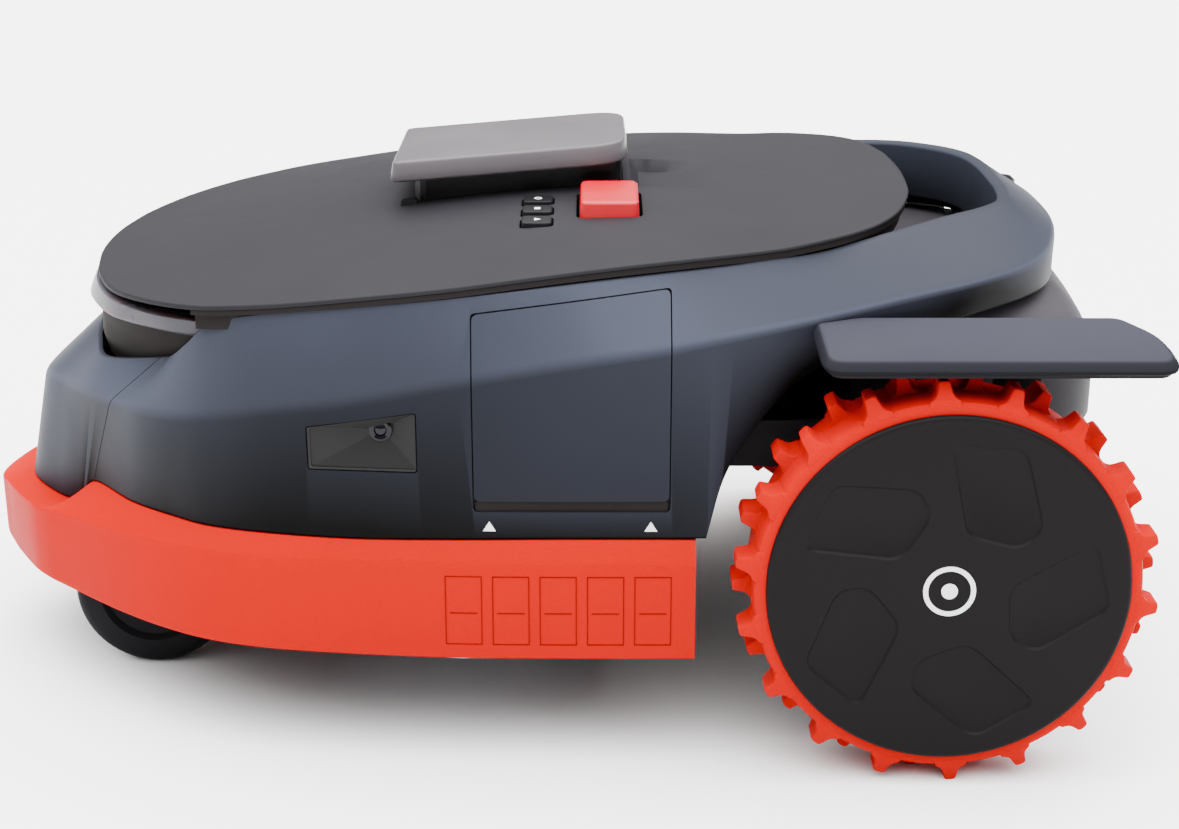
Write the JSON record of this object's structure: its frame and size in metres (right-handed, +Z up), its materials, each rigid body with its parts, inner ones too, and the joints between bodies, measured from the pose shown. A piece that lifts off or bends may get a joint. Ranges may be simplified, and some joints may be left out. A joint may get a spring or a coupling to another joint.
{
  "type": "robotic lawn mower",
  "caption": "Wheeled robotic mower with a wrap-round sprung bumper, lugged drive wheels, front casters, hinged display lid and a height-adjustable twin-disc cutting deck.",
  "frame": {"origin": "on the ground, under the middle of the mower", "axes": "-X towards the front, +X towards the tail and drive wheels, +Z up, -Y the left side"},
  "size_m": [0.776, 0.5704, 0.3643],
  "materials": {
    "shell_slate": "fine spark-eroded texture, satin",
    "shell_light": "fine spark-eroded texture, satin",
    "cover_black": "soft-touch matt",
    "bumper_orange": "satin",
    "gloss_black": "polished",
    "opal_diffuser": "opal, satin",
    "lens_glass": "coated lens",
    "black_nylon": "moulded, matt",
    "lid_grey": "satin paint",
    "stop_red": "semi-gloss",
    "key_black": "satin",
    "tyre_orange": "moulded elastomer",
    "wheel_black": "satin",
    "caster_tread": "matt",
    "steel": "ground",
    "motor_casing": "die-cast",
    "control_housing": "moulded",
    "bronze_bush": "sintered bronze",
    "contact_plate": "plated contact"
  },
  "bodies": {
    "chassis": {"body_shell": "shell_slate", "nose_panel": "shell_slate", "top_cover": "cover_black", "sensor_housing": "gloss_black", "front_camera_lens": "lens_glass", "light_bar": "opal_diffuser", "rear_hood": "shell_light", "display_module": "black_nylon", "lid_hinge_pin": "steel", "chassis_tray": "black_nylon", "battery_pack": "black_nylon", "control_box": "control_housing", "drive_motor_left": "motor_casing", "drive_motor_right": "motor_casing", "charge_contact_left": "contact_plate", "charge_contact_right": "contact_plate", "lift_motor": "motor_casing", "deck_guide_rod_front": "steel", "deck_guide_rod_rear": "steel", "fender_left": "shell_light", "fender_right": "shell_light", "side_window_left": "gloss_black", "side_window_right": "gloss_black", "side_lens_left": "lens_glass", "side_lens_right": "lens_glass", "caster_bush_left": "bronze_bush", "caster_bush_right": "bronze_bush"},
    "wheel_left": {"tyre_left": "tyre_orange", "wheel_hub_left": "black_nylon", "wheel_cover_left": "wheel_black"},
    "wheel_right": {"tyre_right": "tyre_orange", "wheel_hub_right": "black_nylon", "wheel_cover_right": "wheel_black"},
    "caster_swivel_left": {"caster_fork_left": "black_nylon", "caster_axle_left": "steel"},
    "caster_roll_left": {"caster_wheel_left": "caster_tread"},
    "caster_swivel_right": {"caster_fork_right": "black_nylon", "caster_axle_right": "steel"},
    "caster_roll_right": {"caster_wheel_right": "caster_tread"},
    "lift_screw": {"lift_screw": "steel"},
    "deck": {"cutting_deck": "black_nylon", "blade_motor_left": "motor_casing", "blade_motor_right": "motor_casing"},
    "disc_left": {"blade_disc_left": "steel"},
    "blade_left_1": {"blade_left_1": "steel"},
    "blade_left_2": {"blade_left_2": "steel"},
    "blade_left_3": {"blade_left_3": "steel"},
    "disc_right": {"blade_disc_right": "steel"},
    "blade_right_1": {"blade_right_1": "steel"},
    "blade_right_2": {"blade_right_2": "steel"},
    "blade_right_3": {"blade_right_3": "steel"},
    "bumper": {"bumper": "bumper_orange"},
    "display_lid": {"display_lid": "lid_grey"},
    "stop_button": {"stop_button": "stop_red"},
    "key_power": {"key_power": "key_black"},
    "key_home": {"key_home": "key_black"},
    "key_start": {"key_start": "key_black"},
    "side_hatch_left": {"side_hatch_left": "shell_slate"},
    "side_hatch_right": {"side_hatch_right": "shell_slate"}
  },
  "joints": [
    {"name": "wheel_left_roll", "type": "hinge", "parent": "chassis", "child": "wheel_left", "pos_m": [0.256, -0.285, 0.13], "axis": [0, 1, 0], "continuous": true},
    {"name": "wheel_right_roll", "type": "hinge", "parent": "chassis", "child": "wheel_right", "pos_m": [0.256, 0.285, 0.13], "axis": [0, 1, 0], "continuous": true},
    {"name": "caster_left_swivel", "type": "hinge", "parent": "chassis", "child": "caster_swivel_left", "pos_m": [-0.244, -0.082, 0.15], "axis": [0, 0, 1], "continuous": true},
    {"name": "caster_left_roll", "type": "hinge", "parent": "caster_swivel_left", "child": "caster_roll_left", "pos_m": [-0.266, -0.082, 0.055], "axis": [0, 1, 0], "continuous": true},
    {"name": "caster_right_swivel", "type": "hinge", "parent": "chassis", "child": "caster_swivel_right", "pos_m": [-0.244, 0.082, 0.15], "axis": [0, 0, 1], "continuous": true},
    {"name": "caster_right_roll", "type": "hinge", "parent": "caster_swivel_right", "child": "caster_roll_right", "pos_m": [-0.266, 0.082, 0.055], "axis": [0, 1, 0], "continuous": true},
    {"name": "lift_screw_turn", "type": "hinge", "parent": "chassis", "child": "lift_screw", "pos_m": [0.004, 0, 0.084], "axis": [0, 0, 1], "range_deg": [-720.5, 1080.5]},
    {"name": "deck_height", "type": "slide", "parent": "chassis", "child": "deck", "axis": [0, 0, 1], "range_m": [-0.02, 0.03]},
    {"name": "disc_left_spin", "type": "hinge", "parent": "deck", "child": "disc_left", "pos_m": [-0.044, -0.107, 0.046], "axis": [0, 0, 1], "continuous": true},
    {"name": "blade_left_1_swing", "type": "hinge", "parent": "disc_left", "child": "blade_left_1", "pos_m": [-0.044, -0.033, 0.046], "axis": [0, 0, 1], "continuous": true},
    {"name": "blade_left_2_swing", "type": "hinge", "parent": "disc_left", "child": "blade_left_2", "pos_m": [-0.10809, -0.144, 0.046], "axis": [0, 0, 1], "continuous": true},
    {"name": "blade_left_3_swing", "type": "hinge", "parent": "disc_left", "child": "blade_left_3", "pos_m": [0.02009, -0.144, 0.046], "axis": [0, 0, 1], "continuous": true},
    {"name": "disc_right_spin", "type": "hinge", "parent": "deck", "child": "disc_right", "pos_m": [-0.044, 0.107, 0.046], "axis": [0, 0, 1], "continuous": true},
    {"name": "blade_right_1_swing", "type": "hinge", "parent": "disc_right", "child": "blade_right_1", "pos_m": [-0.03115, 0.17988, 0.046], "axis": [0, 0, 1], "continuous": true},
    {"name": "blade_right_2_swing", "type": "hinge", "parent": "disc_right", "child": "blade_right_2", "pos_m": [-0.11354, 0.08169, 0.046], "axis": [0, 0, 1], "continuous": true},
    {"name": "blade_right_3_swing", "type": "hinge", "parent": "disc_right", "child": "blade_right_3", "pos_m": [0.01269, 0.05943, 0.046], "axis": [0, 0, 1], "continuous": true},
    {"name": "bumper_push", "type": "slide", "parent": "chassis", "child": "bumper", "axis": [1, 0, 0], "range_m": [0, 0.006], "stiffness_N_per_m": 2500},
    {"name": "display_lid_open", "type": "hinge", "parent": "chassis", "child": "display_lid", "pos_m": [-0.091, 0, 0.34242], "axis": [0, -1, 0], "range_deg": [0, 80]},
    {"name": "stop_button_press", "type": "slide", "parent": "chassis", "child": "stop_button", "axis": [0, 0, -1], "range_m": [0, 0.004], "stiffness_N_per_m": 900},
    {"name": "key_power_press", "type": "slide", "parent": "chassis", "child": "key_power", "axis": [0, 0, -1], "range_m": [0, 0.0015], "stiffness_N_per_m": 500},
    {"name": "key_home_press", "type": "slide", "parent": "chassis", "child": "key_home", "axis": [0, 0, -1], "range_m": [0, 0.0015], "stiffness_N_per_m": 500},
    {"name": "key_start_press", "type": "slide", "parent": "chassis", "child": "key_start", "axis": [0, 0, -1], "range_m": [0, 0.0015], "stiffness_N_per_m": 500},
    {"name": "side_hatch_left_open", "type": "hinge", "parent": "chassis", "child": "side_hatch_left", "pos_m": [0.027, -0.23761, 0.2982], "axis": [-0.9856, -0.1385, -0.0969], "range_deg": [0, 60]},
    {"name": "side_hatch_right_open", "type": "hinge", "parent": "chassis", "child": "side_hatch_right", "pos_m": [0.027, 0.23761, 0.2982], "axis": [0.9856, -0.1385, 0.0969], "range_deg": [0, 60]}
  ],
  "couplings": [
    {"joint": "lift_screw_turn", "follows": "deck_height", "rad_per_m": 628.32}
  ]
}
